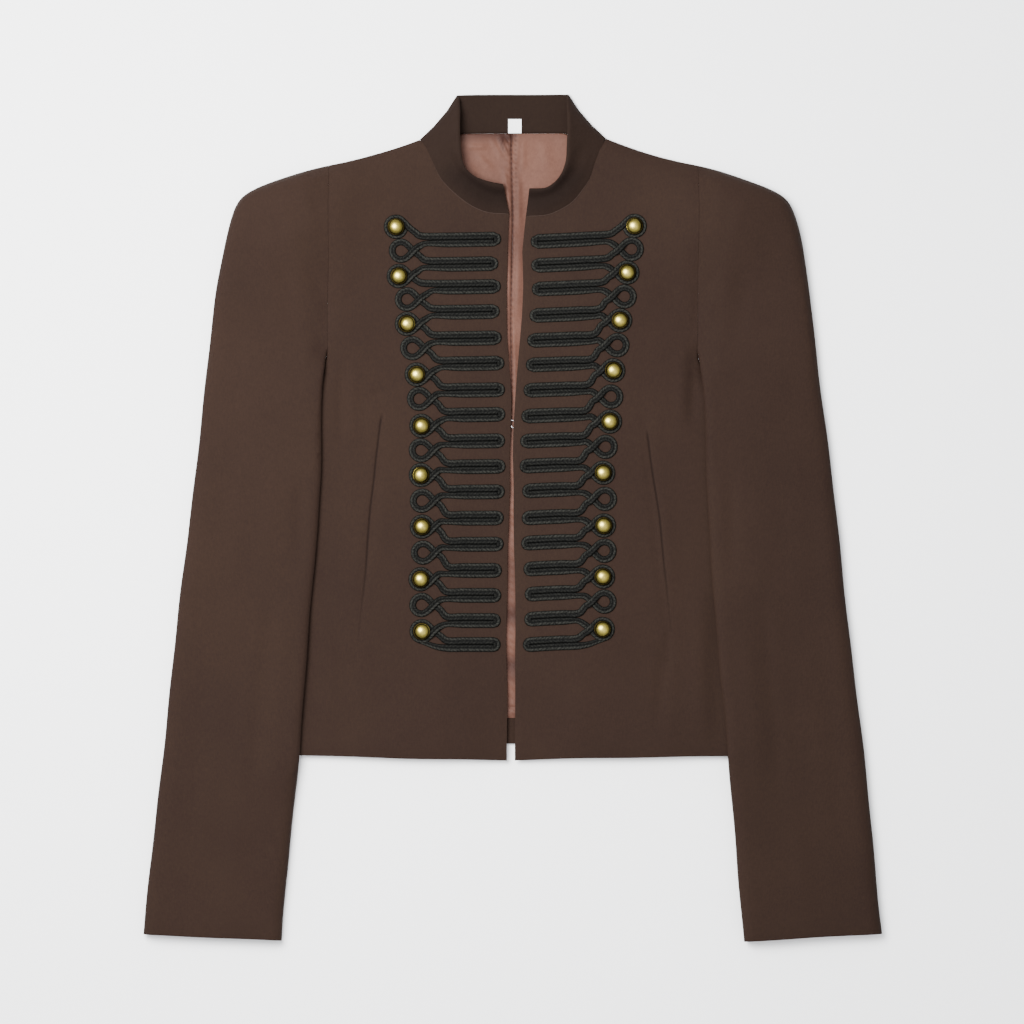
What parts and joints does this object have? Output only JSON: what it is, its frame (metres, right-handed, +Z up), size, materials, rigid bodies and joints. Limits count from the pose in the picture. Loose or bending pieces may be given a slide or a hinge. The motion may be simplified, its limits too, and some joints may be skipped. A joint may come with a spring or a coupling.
{
  "type": "short braided jacket",
  "caption": "Short jacket with stand collar, padded shoulders, looped cord braid and dome buttons, laid flat on its back.",
  "frame": {"origin": "middle of the jacket's outline, on the surface it lies on", "axes": "+Y from hem to collar, +X to the wearer's left side, +Z up out of the surface"},
  "size_m": [0.6282, 0.7196, 0.0215],
  "materials": {
    "cloth": "matt brown suiting, tightly woven",
    "lining": "rose-brown satin",
    "label": "white woven tape, blank",
    "braid": "near-black two-ridged braid",
    "buttons": "polished antique gold",
    "hook_and_eye": "bright nickel wire"
  },
  "bodies": {
    "root": {"back_panel": "cloth", "front_right": "cloth", "front_left": "cloth", "sleeve_right_upper": "cloth", "sleeve_right_under": "cloth", "sleeve_left_upper": "cloth", "sleeve_left_under": "cloth", "collar_stand": "cloth", "back_hem_facing": "cloth", "back_lining": "lining", "neck_label": "label", "braid_right": "braid", "braid_left": "braid", "button_right_1": "buttons", "button_right_2": "buttons", "button_right_3": "buttons", "button_right_4": "buttons", "button_right_5": "buttons", "button_right_6": "buttons", "button_right_7": "buttons", "button_right_8": "buttons", "button_right_9": "buttons", "button_left_1": "buttons", "button_left_2": "buttons", "button_left_3": "buttons", "button_left_4": "buttons", "button_left_5": "buttons", "button_left_6": "buttons", "button_left_7": "buttons", "button_left_8": "buttons", "button_left_9": "buttons", "closure_hook": "hook_and_eye", "closure_eye": "hook_and_eye"}
  },
  "joints": []
}
